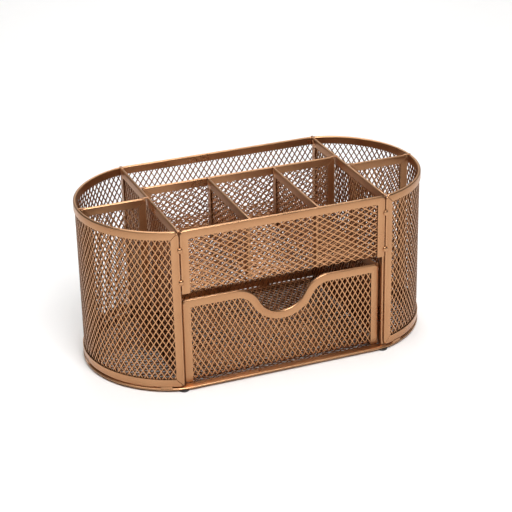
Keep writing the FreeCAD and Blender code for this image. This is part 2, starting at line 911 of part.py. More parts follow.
def finishedPieces():
    """Every sub-part: the bodies, boxes and groups whose label is a written name."""
    kinds = ("PartDesign::Body", "Part::Box", "Part::Cylinder", "Part::Compound")
    grouped = {piece.Name for group in document.Objects if group.TypeId == "Part::Compound"
               for piece in group.Links}
    return [o for o in document.Objects if o.TypeId in kinds and o.Name not in grouped]


def checkDocument():
    faulty = [o.Label for o in document.Objects if {"Invalid", "Error"} & set(o.State)]
    if faulty:
        raise RuntimeError(f"failed objects: {faulty}")


buildWall()
buildBase()
buildFeet()
buildBaseTabs()
buildDividers()
buildFrontPanel()
buildTopTabs()
buildSeamTabs()
buildDrawer()
document.recompute()
checkDocument()

os.makedirs(PARTS_FOLDER, exist_ok=True)
for piece in finishedPieces():
    if piece.Shape.isNull() or not piece.Shape.isValid():
        raise RuntimeError(f"bad shape: {piece.Label}")
    piece.Shape.exportStep(f"{PARTS_FOLDER}/{piece.Label}.step")
    print(piece.Label, len(piece.Shape.Solids), round(piece.Shape.Volume, 1))
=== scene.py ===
import math

import bpy
import numpy as np
from mathutils import Matrix


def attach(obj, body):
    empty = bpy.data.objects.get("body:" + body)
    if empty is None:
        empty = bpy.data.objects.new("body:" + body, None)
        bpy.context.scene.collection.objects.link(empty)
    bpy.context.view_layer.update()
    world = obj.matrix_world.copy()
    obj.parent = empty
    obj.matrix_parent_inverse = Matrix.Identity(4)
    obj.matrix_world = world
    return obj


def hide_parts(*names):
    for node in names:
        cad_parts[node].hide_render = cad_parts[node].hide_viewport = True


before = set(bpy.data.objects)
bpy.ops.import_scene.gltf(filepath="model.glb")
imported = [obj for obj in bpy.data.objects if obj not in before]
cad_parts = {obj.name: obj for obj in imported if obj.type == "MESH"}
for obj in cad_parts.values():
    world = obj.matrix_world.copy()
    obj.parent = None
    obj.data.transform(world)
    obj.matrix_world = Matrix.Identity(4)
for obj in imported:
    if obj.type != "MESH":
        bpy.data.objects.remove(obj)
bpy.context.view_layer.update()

print("stage 1: frame loaded")

# Pen stand of expanded-metal sheet edged with folded steel channel. The drawer opens towards -Y. Lengths are
# in millimetres, and become metres only where a mesh or a pattern is written. The studio's are in metres.
millimetre = 0.001  # in metres
sharpAngle = math.radians(40)  # edges that turn more than this stay crisp

stand = {
    "halfDepth": 56.0,  # outer face of the wall, front and back
    "halfBay": 65.5,  # front edge of each post
    "halfLength": 110.0,  # outer face of the round ends
    "baseRimBottom": 1.0,  # this and the next two are heights above the table
    "wallBottom": 3.6,
    "rimTop": 104.4,
}

channel = {
    "width": 5.0,  # from the fold to the open mouth
    "thickness": 2.0,
    "skin": 0.45,
    "slotClearance": 0.25,  # between the fold's inside and the sheet's edge
    "foldRadius": 0.95,
    "foldSteps": 5,
    "cornerRadius": 2.6,
    "innerRadius": 0.6,
    "cornerShares": (0, 0.22, 0.5, 0.5, 0.5, 0.78, 1),  # of the turn; the middle three make the mitre
    "stationStep": 9.0,
    "mitreDepth": 0.28,
    "dressedMitreDepth": 0.05,  # the two front frames are dressed smooth
    "mitreHalfWidth": 0.25,
    "waviness": 0.035,
    "waveNumbers": (0.21, 0.083),  # radians per millimetre of two slow sags
    "paleFold": 0.8,  # share of the fold's radius that is drawn paler
    "lipEdge": 0.01,  # depth of the raw edge of a lip
    "lipPaleness": 0.7,
    "lumpPaleness": 0.5,  # of tabs and welds
}

expandedMetal = {
    "shortPitch": 3.55,
    "longPitch": 6.0,
    "strandWidth": 0.6,
    "thickness": 0.65,
    "floorThickness": 0.35,  # of the base and of the sheet that is panel and shelf
    "bond": 0.44,  # length of the uncut bond between two openings
    "bondEase": 0.03,  # an opening's side corners reach this far into the bond
    "bendStep": 0.15,  # between points on a sheet's bend
}

# Each round end is the arc through a post's edge and the end's furthest point: with the end reaching e
# past the post and the half depth d, its radius is (d squared + e squared) / 2e.
endReach = stand["halfLength"] - stand["halfBay"]
endRadius = (stand["halfDepth"] ** 2 + endReach ** 2) / (2 * endReach)
arcCentre = stand["halfLength"] - endRadius
startAngle = math.atan2(stand["halfDepth"], stand["halfBay"] - arcCentre)
middleRise = channel["thickness"] / 2
hidden = channel["skin"] + channel["slotClearance"]  # from a channel's fold to the sheet's edge


# Six times the volume inside the faces: first . (second x third) summed over the triangles of each face's
# fan. A negative one means that the faces point inwards.
def signedVolume(points, faceSets):
    total = 0.0
    for faces in faceSets:
        first = points[faces[:, 0]]
        for k in range(1, faces.shape[1] - 1):
            second, third = points[faces[:, k]], points[faces[:, k + 1]]
            total += np.einsum("ij,ij->", first, np.cross(second, third))
    return total


# Writes points (millimetres) and faces with 3 or 4 corners into a mesh piece that stands for a node. mark is
# an attribute for the coat: its name, its domain and its values.
def addPiece(name, node, points, faceSets, body, material, mark=None):
    faceSets = [faces for faces in faceSets if len(faces)]
    if signedVolume(points, faceSets) < 0:
        faceSets = [faces[:, ::-1] for faces in faceSets]
    mesh = bpy.data.meshes.new(name)
    corners = np.concatenate([faces.ravel() for faces in faceSets]).astype(np.int32)
    counts = np.concatenate([np.full(len(faces), faces.shape[1]) for faces in faceSets])
    starts = np.concatenate([[0], np.cumsum(counts)[:-1]]).astype(np.int32)
    mesh.vertices.add(len(points))
    mesh.vertices.foreach_set("co", (points * millimetre).astype(np.float32).ravel())
    mesh.loops.add(len(corners))
    mesh.loops.foreach_set("vertex_index", corners)
    mesh.polygons.add(len(counts))
    mesh.polygons.foreach_set("loop_start", starts)
    mesh.polygons.foreach_set("use_smooth", np.ones(len(counts), dtype=bool))
    mesh.update(calc_edges=True)
    mesh.validate()
    if mark:
        label, domain, values = mark
        mesh.attributes.new(label, "FLOAT", domain).data.foreach_set("value", values.astype(np.float32))
    mesh.set_sharp_from_angle(angle=sharpAngle)
    mesh.materials.append(material)
    piece = bpy.data.objects.new(name, mesh)
    bpy.context.scene.collection.objects.link(piece)
    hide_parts(node)
    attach(piece, body)


# A folded or pressed piece, from a shell of points, faces and the edge mark of each point.
def addFolded(name, node, shell, body="stand"):
    points, faceSets, edge = shell
    addPiece(name, node, points, faceSets, body, channelCoat, ("edge", "POINT", edge))


# A sheet of mesh, from a shell of points, faces and the cut mark of each face.
def addExpanded(name, node, shell, body="stand"):
    points, faceSets, cut = shell
    addPiece(name, node, points, faceSets, body, meshCoat, ("cut", "FACE", cut))


# Joins several shells of points, faces and edge marks into one.
def joined(shells):
    shift = 0
    allPoints, triangles, quads, edges = [], [], [], []
    for points, faceSets, edge in shells:
        allPoints.append(points)
        edges.append(edge)
        for faces in faceSets:
            (quads if faces.shape[1] == 4 else triangles).append(faces + shift)
        shift += len(points)
    sets = [np.concatenate(group) for group in (triangles, quads) if group]
    return np.concatenate(allPoints), sets, np.concatenate(edges)


# The length of a chain of points up to each one.
def runLengths(points):
    return np.concatenate([[0], np.cumsum(np.linalg.norm(np.diff(points, axis=0), axis=1))])


# A path in a plane: points, the length up to each, and the unit normal on the left of its way. Smoothing
# puts each point at the mean of the path that far before and after it, except near the two ends.
def makePath(points, smoothing=0.0, fineStep=0.5):
    points = np.asarray(points, dtype=float)
    if smoothing:
        lengths = runLengths(points)
        fine = np.linspace(0, lengths[-1], int(lengths[-1] / fineStep))
        dense = np.stack([np.interp(fine, lengths, points[:, k]) for k in (0, 1)], axis=1)
        reach = int(smoothing / fineStep)
        padded = np.concatenate([np.repeat(dense[:1], reach, 0), dense, np.repeat(dense[-1:], reach, 0)])
        kernel = np.ones(2 * reach + 1) / (2 * reach + 1)
        smooth = np.stack([np.convolve(padded[:, k], kernel, "valid") for k in (0, 1)], axis=1)
        nearEnd = np.minimum(fine, lengths[-1] - fine) < 2 * smoothing
        points = np.where(nearEnd[:, None], dense, smooth)
    lengths = runLengths(points)
    tangents = np.gradient(points, lengths, axis=0)
    tangents /= np.linalg.norm(tangents, axis=1)[:, None]
    normals = np.stack([-tangents[:, 1], tangents[:, 0]], axis=1)
    return {"points": points, "lengths": lengths, "normals": normals, "total": lengths[-1]}


# The point at length s of a path, moved by rise along its left normal.
def onPath(path, s, rise):
    place = [np.interp(s, path["lengths"], path["points"][:, k]) for k in (0, 1)]
    normal = [np.interp(s, path["lengths"], path["normals"][:, k]) for k in (0, 1)]
    size = np.hypot(*normal)
    return place[0] + rise * normal[0] / size, place[1] + rise * normal[1] / size


# Points of an arc: centre plus radius times (cos, sin), from one angle to another.
def arcPoints(centre, radius, fromAngle, toAngle, step=0.5):
    count = max(3, int(abs(toAngle - fromAngle) * radius / step) + 1)
    angles = np.linspace(fromAngle, toAngle, count)
    return np.stack([centre[0] + radius * np.cos(angles), centre[1] + radius * np.sin(angles)], axis=1)


# The stand's plan outline, from the left post round the left end, the back and the right end.
def planOutline():
    left = arcPoints((-arcCentre, 0), endRadius, math.pi + startAngle, math.pi - startAngle)
    right = arcPoints((arcCentre, 0), endRadius, startAngle, -startAngle)
    return np.concatenate([left, right])


# The channel's section: the outside goes up one lip, round the fold and down the other lip; the inside
# does the same one skin further in. The fold is an ellipse, crown times as deep as it is wide. Each point
# is (across, deep).
def channelSection(crown):
    thickness, lip = channel["thickness"], channel["width"]
    turn = np.linspace(0, math.pi / 2, channel["foldSteps"] + 1)

    # one face of the section: up a lip, two quarter ellipses, down the other lip
    def side(inset):
        radius = channel["foldRadius"] - inset
        near = np.stack([
            inset + radius * (1 - np.cos(turn)), inset + crown * radius * (1 - np.sin(turn)),
        ], axis=1)
        far = np.stack([thickness - near[::-1, 0], near[::-1, 1]], axis=1)
        return np.concatenate([[[inset, lip]], near, far, [[thickness - inset, lip]]])

    return side(0.0), side(channel["skin"])


# Carries the section along stations. outer and inner hold each station's place on the fold line and on
# the lips' line, in the sheet's own plane; groove sinks both faces; place(p, q, across) bends it to 3-D.
# Both faces sag by the product of two slow sines, shifted by seed, that grows from the fold to the lips.
def sweptChannel(outer, inner, groove, place, closed=False, seed=0.0, crown=1.0):
    outside, inside = channelSection(crown)
    ring = np.concatenate([outside, inside[::-1]])
    count, half, stations = len(ring), len(outside), len(outer)
    across, deep = ring[:, 0], ring[:, 1] / channel["width"]
    p = outer[:, None, 0] + (inner - outer)[:, None, 0] * deep
    q = outer[:, None, 1] + (inner - outer)[:, None, 1] * deep
    towardsMiddle = np.sign(middleRise - across)
    distance = runLengths((outer + inner) / 2)
    quick, slow = channel["waveNumbers"]
    wave = channel["waviness"] * np.sin(distance * quick + seed) * np.sin(distance * slow + 2 * seed)
    sunk = across + groove[:, None] * towardsMiddle + wave[:, None] * np.clip(deep, 0, 1) * towardsMiddle
    points = np.stack(place(p, q, sunk), axis=-1).reshape(-1, 3)
    k = np.arange(count)
    after = (k + 1) % count
    row = np.arange(stations if closed else stations - 1)[:, None]
    nextRow = (row + 1) % stations * count
    row = row * count
    quads = np.stack([row + k, row + after, nextRow + after, nextRow + k], axis=-1).reshape(-1, 4)
    if not closed:
        j = np.arange(half - 1)
        cap = np.stack([j, count - 1 - j, count - 2 - j, j + 1], axis=1)
        quads = np.concatenate([quads, cap, cap[:, ::-1] + (stations - 1) * count])
    onFold = np.where(ring[:, 1] < channel["foldRadius"] * channel["paleFold"], 1.0, 0.0)
    onLip = np.where(ring[:, 1] > channel["width"] - channel["lipEdge"], channel["lipPaleness"], 0.0)
    edge = np.tile(np.maximum(onFold, onLip), stations)
    return points, [quads], edge


# Stations of a channel round square corners: its outer line, its lips' line and how deep each station's
# groove is. On a leg both lines run straight. At a corner each turns on its own radius, from before to
# after: a point is the centre less the radius times (before cos a + after sin a), and a groove marks the
# 45 degree mitre. Travel is clockwise, so the mouth is on the right. ownLegs gives some legs their lines.
def bentStations(corners, outerRadius=None, step=None, ownLegs={}, mitre=channel["mitreDepth"]):
    corners = np.asarray(corners, dtype=float)
    radii = (outerRadius or channel["cornerRadius"], channel["innerRadius"])
    steps = np.diff(corners, axis=0)
    lengths = np.linalg.norm(steps, axis=1)
    ways = steps / lengths[:, None]
    rights = np.stack([ways[:, 1], -ways[:, 0]], axis=1)
    width, half, last = channel["width"], channel["mitreHalfWidth"], len(steps) - 1
    shares = np.array(channel["cornerShares"])
    middle = len(shares) // 2

    # both lines round corner c
    def turn(c):
        both = []
        for radius, offset in zip(radii, (0.0, width)):
            before, after = rights[c - 1], rights[c]
            angle = shares[:, None] * math.pi / 2
            centre = corners[c] + (offset + radius) * (before + after)
            spots = centre - radius * (before * np.cos(angle) + after * np.sin(angle))
            spots[middle - 1] -= half * ways[c - 1]
            spots[middle + 1] += half * ways[c]
            both.append(spots)
        return both

    turnGroove = np.where(np.arange(len(shares)) == middle, mitre, 0.0)
    runs = []
    start = corners[0], corners[0] + width * rights[0]
    for leg in range(last + 1):
        atCorner = turn(leg + 1) if leg < last else None
        if leg in ownLegs:
            outer, inner = ownLegs[leg]
        else:
            end = (corners[-1], corners[-1] + width * rights[-1])
            if atCorner:
                end = (atCorner[0][0], atCorner[1][0])
            count = max(2, int(lengths[leg] / (step or channel["stationStep"])) + 1)
            share = np.linspace(0, 1, count)[:, None]
            share = share[1 if leg else 0 : -1 if leg < last else None]
            outer, inner = (a + share * (b - a) for a, b in zip(start, end))
        runs.append((outer, inner, np.zeros(len(outer))))
        if atCorner:
            runs.append((*atCorner, turnGroove))
            start = atCorner[0][-1], atCorner[1][-1]
    return [np.concatenate(column) for column in zip(*runs)]


# The leg between the two mitres of a bend, so that neighbouring pieces meet in the groove.
def mitredLeg(corners, outerRadius, step):
    stations = bentStations(corners, outerRadius, step)
    first, last = np.flatnonzero(stations[2])
    return [column[first : last + 1] for column in stations]


# The four nodes round each opening (i, j), anticlockwise from the one along the short diagonal.
def nodesAround(i, j):
    return [(i + 1, j), (i, j + 1), (i - 1, j), (i, j - 1)]


# The openings of a grid of half pitches: every point whose i + j is odd, away from the grid's edges. The
# other points are nodes, where strands meet. inSheet(i, j), if given, has to hold at all four nodes.
def pickOpenings(counts, inSheet):
    grids = np.meshgrid(np.arange(counts[0] + 1), np.arange(counts[1] + 1), indexing="ij")
    i, j = (grid.ravel() for grid in grids)
    inside = (i > 0) & (j > 0) & (i < counts[0]) & (j < counts[1]) & ((i + j) % 2 == 1)
    i, j = i[inside], j[inside]
    if inSheet is not None:
        kept = np.logical_and.reduce([inSheet(*node) for node in nodesAround(i, j)])
        i, j = i[kept], j[kept]
    return i, j


# Corners of one opening round its middle, along the short and the long diagonal: a diamond one strand
# width smaller than its nodes' diamond, whose side corners are cut short by the bond.
def openingCorners(short, long):
    strand, bond = expandedMetal["strandWidth"], expandedMetal["bond"]
    slant = math.hypot(short, long)
    reachShort = short / 2 - strand / 2 * slant / long
    reachLong = long / 2 - strand / 2 * slant / short
    side = reachShort * (1 - bond / 2 / reachLong) + expandedMetal["bondEase"]
    cornerShort = np.array([side, side, 0, -side, -side, 0])
    cornerLong = np.array([-bond / 2, bond / 2, reachLong, bond / 2, -bond / 2, -reachLong])
    return cornerShort, cornerLong


# Faces of the strands: flat ones between nodes and opening corners on both sides of the sheet, whose point
# numbers are lower apart, then the cut ones down each opening and along the sheet's outer edge, which are
# the sides of nodes' diamonds that only one opening uses.
def strandFaces(nodes, corners, nodeCount, lower):
    east, north, west, south = nodes
    c = corners
    bands = (
        (east, north, c[2], c[1]), (north, west, c[3], c[2]),
        (west, south, c[5], c[4]), (south, east, c[0], c[5]),
    )
    topQuads = np.concatenate([np.stack(band, axis=1) for band in bands])
    topTriangles = np.concatenate([
        np.stack(bond, axis=1) for bond in ((east, c[1], c[0]), (west, c[4], c[3]))
    ])
    walls = np.concatenate([
        np.stack([c[k], c[(k + 1) % 6], c[(k + 1) % 6] + lower, c[k] + lower], axis=1) for k in range(6)
    ])
    pairs = ((east, north), (north, west), (west, south), (south, east))
    sides = np.concatenate([np.stack(pair, axis=1) for pair in pairs])
    keys = np.sort(sides, axis=1) @ np.array([nodeCount, 1])
    _, firstPlace, uses = np.unique(keys, return_index=True, return_counts=True)
    rim = sides[firstPlace[uses == 1]]
    rimWalls = np.stack([rim[:, 1], rim[:, 0], rim[:, 0] + lower, rim[:, 1] + lower], axis=1)
    quads = np.concatenate([topQuads, topQuads[:, ::-1] + lower, walls, rimWalls])
    triangles = np.concatenate([topTriangles, topTriangles[:, ::-1] + lower])
    flats = len(triangles) + 2 * len(topQuads)
    cut = np.concatenate([np.zeros(flats), np.ones(len(walls) + len(rimWalls))])
    return [triangles, quads], cut


# A sheet of expanded metal over two spans: nodes and openings on its upper and its lower face, with flat
# strands between. longAlong says whether the long diagonal is along the sheet's p or its q; place(p, q,
# rise) bends the sheet; keep(p, q) is true where a node may stand.
def lattice(spanP, spanQ, longAlong, place, pitches=None, keep=None, thickness=None):
    short, long = pitches or (expandedMetal["shortPitch"], expandedMetal["longPitch"])
    thick = thickness or expandedMetal["thickness"]
    spans = (spanP, spanQ) if longAlong == "q" else (spanQ, spanP)
    counts = [int((b - a) / (pitch / 2)) for (a, b), pitch in zip(spans, (short, long))]
    origin = [(a + b - n * pitch / 2) / 2 for (a, b), n, pitch in zip(spans, counts, (short, long))]

    # where a grid point lies along the short and the long diagonal: the origin plus its half pitches
    def spot(i, j):
        return origin[0] + i * short / 2, origin[1] + j * long / 2

    # the same place as (p, q)
    def ordered(alongShort, alongLong):
        return (alongShort, alongLong) if longAlong == "q" else (alongLong, alongShort)

    # whether a node may stand at a grid point
    def inSheet(i, j):
        return keep(*ordered(*spot(i, j)))

    i, j = pickOpenings(counts, inSheet if keep else None)
    codes = np.stack([a * (counts[1] + 1) + b for a, b in nodesAround(i, j)], axis=1)
    nodes, number = np.unique(codes, return_inverse=True)
    nodeShort, nodeLong = spot(nodes // (counts[1] + 1), nodes % (counts[1] + 1))
    centreShort, centreLong = spot(i, j)
    cornerShort, cornerLong = openingCorners(short, long)
    holeShort = (centreShort[:, None] + cornerShort).ravel()
    holeLong = (centreLong[:, None] + cornerLong).ravel()

    lower = len(nodes) + len(holeShort)
    rise = np.repeat([thick / 2, -thick / 2], lower)
    p, q = ordered(
        np.tile(np.concatenate([nodeShort, holeShort]), 2), np.tile(np.concatenate([nodeLong, holeLong]), 2)
    )
    points = np.stack(np.broadcast_arrays(*place(p, q, rise)), axis=1)
    corners = (len(nodes) + 6 * np.arange(len(i))[:, None] + np.arange(6)).T
    faceSets, cut = strandFaces(number.reshape(codes.shape).T, corners, len(nodes), lower)
    return points, faceSets, cut


# Faces of rings of points, numbered ring by ring, that are closed by one point below the first ring and
# one above the last, which follow them.
def closedRings(rows, columns):
    k = np.arange(columns)
    after = (k + 1) % columns
    row = np.arange(rows - 1)[:, None] * columns
    quads = np.stack([row + k, row + after, row + columns + after, row + columns + k], axis=-1).reshape(-1, 4)
    last = (rows - 1) * columns
    low = np.stack([after, k, np.full(columns, rows * columns)], axis=1)
    high = np.stack([last + k, last + after, np.full(columns, rows * columns + 1)], axis=1)
    return [np.concatenate([low, high]), quads]


# A rounded lump: cos and sin of the two angles, each raised to a power below 1, give a softened box.
def lump(centre, half, power, rows, columns):
    # the value's size to the power, with its sign
    def soft(value):
        return np.sign(value) * np.abs(value) ** power

    up = np.linspace(-math.pi / 2, math.pi / 2, rows + 2)[1:-1][:, None]
    around = np.linspace(0, 2 * math.pi, columns, endpoint=False)[None, :]
    across, along = soft(np.cos(up)) * soft(np.cos(around)), soft(np.cos(up)) * soft(np.sin(around))
    unit = np.stack([across, along, soft(np.sin(up)) * np.ones_like(around)], axis=-1).reshape(-1, 3)
    points = np.asarray(centre) + np.concatenate([unit, [[0, 0, -1], [0, 0, 1]]]) * np.asarray(half)
    return points, closedRings(rows, columns), np.full(len(points), channel["lumpPaleness"])


# A turned solid: each (radius, height) of the profile, from the bottom up, goes round an upright axis.
def turned(centre, profile, columns=40):
    radius, height = np.asarray(profile).T[:, :, None]
    around = np.linspace(0, 2 * math.pi, columns, endpoint=False)
    rings = np.stack([radius * np.cos(around), radius * np.sin(around), height + 0 * around], axis=-1)
    ends = [[0, 0, height[0, 0]], [0, 0, height[-1, 0]]]
    points = np.asarray(centre) + np.concatenate([rings.reshape(-1, 3), ends])
    return points, closedRings(len(profile), columns)


# Each sRGB value v becomes ((v + 0.055) / 1.055) to the power 2.4, or v / 12.92 where it is very dark.
def linear(hexColour):
    values = np.array([int(hexColour[k : k + 2], 16) for k in (1, 3, 5)]) / 255
    curved = np.where(values <= 0.04045, values / 12.92, ((values + 0.055) / 1.055) ** 2.4)
    return (*curved.tolist(), 1.0)


# Adds one node: settings are its own properties; an input takes a value or a (node, output) link.
def addNode(tree, kind, settings={}, inputs={}):
    node = tree.nodes.new(kind)
    for key, value in settings.items():
        setattr(node, key, value)
    for key, value in inputs.items():
        if isinstance(value, tuple) and isinstance(value[0], bpy.types.Node):
            tree.links.new(value[0].outputs[value[1]], node.inputs[key])
        else:
            node.inputs[key].default_value = value
    return node


# An empty material and its node tree.
def newMaterial(name):
    material = bpy.data.materials.new(name)
    material.use_nodes = True
    material.node_tree.nodes.clear()
    return material, material.node_tree


coatTexture = {  # what both copper coats share; a span is in the pattern's own values
    "driftDetail": 3.0,
    "driftRoughness": 0.5,
    "driftSpan": (0.35, 0.65),  # from the deep tone to the base tone
    "flakeSpan": (0.55, 1.0),  # from no glint to the full one
    "satinSpan": (0.3, 0.7),
    "satinChange": (-0.05, 0.06),  # of the roughness, over that span
    "peelDetail": 2.0,
    "peelRoughness": 0.6,
    "peelDepth": 0.1,
}


# Copper-coloured metallic powder coat on steel: sprayed flake in a satin binder. It gives a soft wide
# highlight, a slightly deeper tone in drifts and fine orange peel. The marked faces take another tone: the
# folds of a channel are paler, and the cut sides of a strand are darker, which is painted shade in the
# openings.
def satinCopperCoat(name, colours):
    material, tree = newMaterial(name)
    driftSpan, flakeSpan, satinSpan = (coatTexture[key] for key in ("driftSpan", "flakeSpan", "satinSpan"))
    smoothest, roughest = (colours["roughness"] + change for change in coatTexture["satinChange"])
    place = addNode(tree, "ShaderNodeTexCoord")
    drift = addNode(tree, "ShaderNodeTexNoise", inputs={
        "Vector": (place, "Object"), "Scale": 1 / (colours["driftSize"] * millimetre),
        "Detail": coatTexture["driftDetail"], "Roughness": coatTexture["driftRoughness"],
    })
    tone = addNode(tree, "ShaderNodeMapRange", inputs={
        "Value": (drift, "Fac"), "From Min": driftSpan[0], "From Max": driftSpan[1],
    })
    body = addNode(tree, "ShaderNodeMix", {"data_type": "RGBA"}, {
        0: (tone, "Result"), 6: linear(colours["deep"]), 7: linear(colours["base"]),
    })
    flake = addNode(tree, "ShaderNodeTexVoronoi", inputs={
        "Vector": (place, "Object"), "Scale": 1 / (colours["flakeSize"] * millimetre),
    })
    glint = addNode(tree, "ShaderNodeMapRange", inputs={
        "Value": (flake, "Color"), "From Min": flakeSpan[0], "From Max": flakeSpan[1],
        "To Max": colours["glint"],
    })
    flaked = addNode(tree, "ShaderNodeMix", {"data_type": "RGBA"}, {
        0: (glint, "Result"), 6: (body, 2), 7: linear(colours["flake"]),
    })
    marked = addNode(tree, "ShaderNodeAttribute", {"attribute_name": colours["mark"]})
    share = addNode(tree, "ShaderNodeMath", {"operation": "MULTIPLY"}, {
        0: (marked, "Fac"), 1: colours["markShow"],
    })
    coat = addNode(tree, "ShaderNodeMix", {"data_type": "RGBA"}, {
        0: (share, "Value"), 6: (flaked, 2), 7: linear(colours["markTone"]),
    })
    satin = addNode(tree, "ShaderNodeMapRange", inputs={
        "Value": (drift, "Fac"), "From Min": satinSpan[0], "From Max": satinSpan[1],
        "To Min": smoothest, "To Max": roughest,
    })
    peel = addNode(tree, "ShaderNodeTexNoise", inputs={
        "Vector": (place, "Object"), "Scale": 1 / (colours["peelSize"] * millimetre),
        "Detail": coatTexture["peelDetail"], "Roughness": coatTexture["peelRoughness"],
    })
    bump = addNode(tree, "ShaderNodeBump", inputs={
        "Height": (peel, "Fac"), "Strength": colours["peelStrength"],
        "Distance": coatTexture["peelDepth"] * millimetre,
    })
    shader = addNode(tree, "ShaderNodeBsdfPrincipled", inputs={
        "Base Color": (coat, 2), "Roughness": (satin, "Result"), "Normal": (bump, "Normal"),
        "Metallic": colours["metallic"],
    })
    addNode(tree, "ShaderNodeOutputMaterial", inputs={"Surface": (shader, "BSDF")})
    return material


# The coat drifts over 12 to 20 mm, and its orange peel is under 1 mm from crest to crest. The flake is
# drawn as 0.3 mm grains, because real flake of 0.05 mm can't show.
channelCoat = satinCopperCoat("satin_copper_powder_coat_on_folded_steel", {
    "base": "#b58660", "deep": "#aa7b57", "flake": "#cfa27a", "driftSize": 20, "flakeSize": 0.3,
    "peelSize": 0.8, "peelStrength": 0.25, "glint": 0.25, "roughness": 0.31, "metallic": 0.95,
    "mark": "edge", "markTone": "#cfa27a", "markShow": 0.4,
})
meshCoat = satinCopperCoat("satin_copper_powder_coat_on_expanded_metal", {
    "base": "#c9966c", "deep": "#bd8a62", "flake": "#dcae86", "driftSize": 12, "flakeSize": 0.3,
    "peelSize": 0.6, "peelStrength": 0.25, "glint": 0.2, "roughness": 0.36, "metallic": 0.95,
    # painted shade: the cut sides of the strands take this dark brown, so the openings look deeper and darker
    "mark": "cut", "markTone": "#5e3316", "markShow": 0.9,
})


# Moulded rubber: matt, nearly black-brown, finely grained, with a dusty bloom.
def mouldedRubber():
    rubber = {
        "base": "#2b2725", "bloom": "#4a4441", "roughness": 0.85,
        "grainSize": 0.4, "grainDetail": 3.0, "grainStrength": 0.3, "grainDepth": 0.1,
    }
    material, tree = newMaterial("moulded_black_rubber")
    place = addNode(tree, "ShaderNodeTexCoord")
    grain = addNode(tree, "ShaderNodeTexNoise", inputs={
        "Vector": (place, "Object"), "Scale": 1 / (rubber["grainSize"] * millimetre),
        "Detail": rubber["grainDetail"],
    })
    tone = addNode(tree, "ShaderNodeMix", {"data_type": "RGBA"}, {
        0: (grain, "Fac"), 6: linear(rubber["base"]), 7: linear(rubber["bloom"]),
    })
    bump = addNode(tree, "ShaderNodeBump", inputs={
        "Height": (grain, "Fac"), "Strength": rubber["grainStrength"],
        "Distance": rubber["grainDepth"] * millimetre,
    })
    shader = addNode(tree, "ShaderNodeBsdfPrincipled", inputs={
        "Base Color": (tone, 2), "Roughness": rubber["roughness"], "Normal": (bump, "Normal"),
    })
    addNode(tree, "ShaderNodeOutputMaterial", inputs={"Surface": (shader, "BSDF")})
    return material


# Matt white table top: a sprayed board with a barely visible mottle.
def paleBoard():
    board = {"base": "#fbfaf9", "mottle": "#f8f7f6", "mottleSize": 50, "roughness": 0.9}
    material, tree = newMaterial("matt_white_sprayed_board")
    place = addNode(tree, "ShaderNodeTexCoord")
    cloud = addNode(tree, "ShaderNodeTexNoise", inputs={
        "Vector": (place, "Object"), "Scale": 1 / (board["mottleSize"] * millimetre),
    })
    tone = addNode(tree, "ShaderNodeMix", {"data_type": "RGBA"}, {
        0: (cloud, "Fac"), 6: linear(board["base"]), 7: linear(board["mottle"]),
    })
    shader = addNode(tree, "ShaderNodeBsdfPrincipled", inputs={
        "Base Color": (tone, 2), "Roughness": board["roughness"],
    })
    addNode(tree, "ShaderNodeOutputMaterial", inputs={"Surface": (shader, "BSDF")})
    return material


rubberFinish = mouldedRubber()
print("stage 2: materials mixed")


wall = {
    "meshPitches": (3.72, 5.95),  # along the wall, upwards
    "cornerRadius": 3.0,
    "bendSmoothing": 4.0,  # softens the outline where the straight back meets the ends
    "curveStep": 2.4,
    "frontLean": 8.0,  # length over which the wall turns square to the front
}

outline = makePath(planOutline(), wall["bendSmoothing"])
wallLength = outline["total"]


# A place on the wall: s along its outer face from the left front edge round the back, z up, and across
# inwards. Near the front edges s is shifted by across over the start angle's tangent, so that the wall's
# end faces stand square to the front.
def onWall(s, z, across):
    reach = wall["frontLean"]
    nearFront = np.clip(1 - s / reach, 0, 1) - np.clip(1 - (wallLength - s) / reach, 0, 1)
    lean = across * math.tan(math.pi / 2 - startAngle) * nearFront
    x, y = onPath(outline, s + lean, -across)
    return x, y, z + 0 * x


bottom, top = stand["wallBottom"], stand["rimTop"]
loop = [(0, bottom), (0, top), (wallLength, top), (wallLength, bottom)]
halfWay, middleHeight = wallLength / 2, (top + bottom) / 2
curveStep = wall["curveStep"]
wallFrame = {  # each leg of the frame with half of its neighbours, and the step along it
    "outer_wall_top_rim": ([(0, middleHeight), loop[1], loop[2], (wallLength, middleHeight)], curveStep),
    "right_front_post": ([(halfWay, top), loop[2], loop[3], (halfWay, bottom)], None),
    "outer_wall_bottom_rim": ([(wallLength, middleHeight), loop[3], loop[0], (0, middleHeight)], curveStep),
    "left_front_post": ([(halfWay, bottom), loop[0], loop[1], (halfWay, top)], None),
}
for seed, (node, (corners, step)) in enumerate(wallFrame.items()):
    stations = mitredLeg(corners, wall["cornerRadius"], step)
    addFolded(node + "_folded", node, sweptChannel(*stations, onWall, seed=seed))

wallSheet = lattice(
    (hidden, wallLength - hidden), (bottom + hidden, top - hidden), "q",
    lambda s, z, rise: onWall(s, z, middleRise - rise), wall["meshPitches"],
)
addExpanded("outer_wall_expanded", "outer_wall_mesh", wallSheet)
print("stage 3: outer wall built")


base = {
    "overhang": 0.2,  # how far the base rim stands out past the wall
    "crown": 2.4,  # its fold is rolled rounder than the others
    "tabLength": 7.4,
    "tabHalf": (1.2, 0.9),  # across and upwards, over the gap and flush with the faces
    "tabFlare": 0.08,  # how much longer a tab gets for each millimetre down
    "tabSoftness": 0.25,
    "tabPlace": 11.3,  # of the front tabs, along the wall from its front edges
    "rearTabPlace": 30.0,  # of the rear tabs, each way from the middle of the back
    "footInset": 2.7,
    "footProfile": [(2.7, 0.0), (3.0, 0.08), (3.2, 0.3), (3.2, 0.8), (3.1, 1.0)],  # radius, height
}

